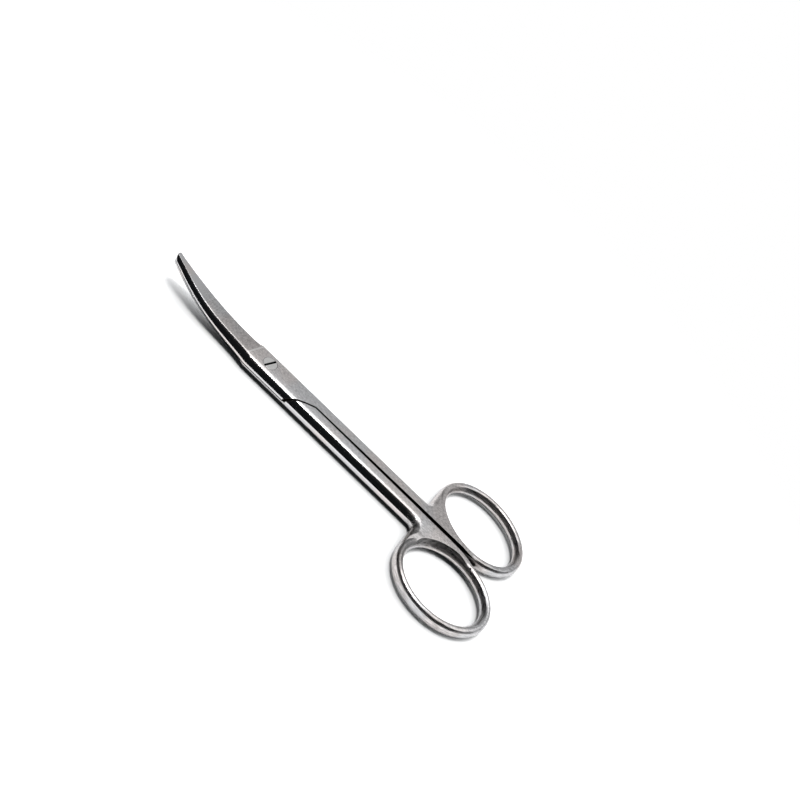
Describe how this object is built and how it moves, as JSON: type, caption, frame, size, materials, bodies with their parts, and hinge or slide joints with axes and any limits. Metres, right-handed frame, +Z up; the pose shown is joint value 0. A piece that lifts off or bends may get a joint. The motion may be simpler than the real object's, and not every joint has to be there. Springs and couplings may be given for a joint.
{
  "type": "iridectomy scissors",
  "caption": "Slender ring-handled surgical scissors with blunt upward-curved blades, closed, with a lap joint on a slotted screw.",
  "frame": {"origin": "the joint screw's axis, at the level of the flat underside of joint and shanks", "axes": "+X back along the seam to the finger rings, +Y to the upper half's ring, +Z up along the screw, the way the blades curve"},
  "size_m": [0.1389, 0.0556, 0.0119],
  "materials": {
    "satin_steel": "satin",
    "screw_steel": "satin"
  },
  "bodies": {
    "lower": {"lower_half": "satin_steel", "joint_screw": "screw_steel"},
    "upper": {"upper_half": "satin_steel"}
  },
  "joints": [
    {"name": "joint_hinge", "type": "hinge", "parent": "lower", "child": "upper", "pos_m": [0, 0, 0.0028], "axis": [0, 0, 1], "range_deg": [0, 80]}
  ]
}
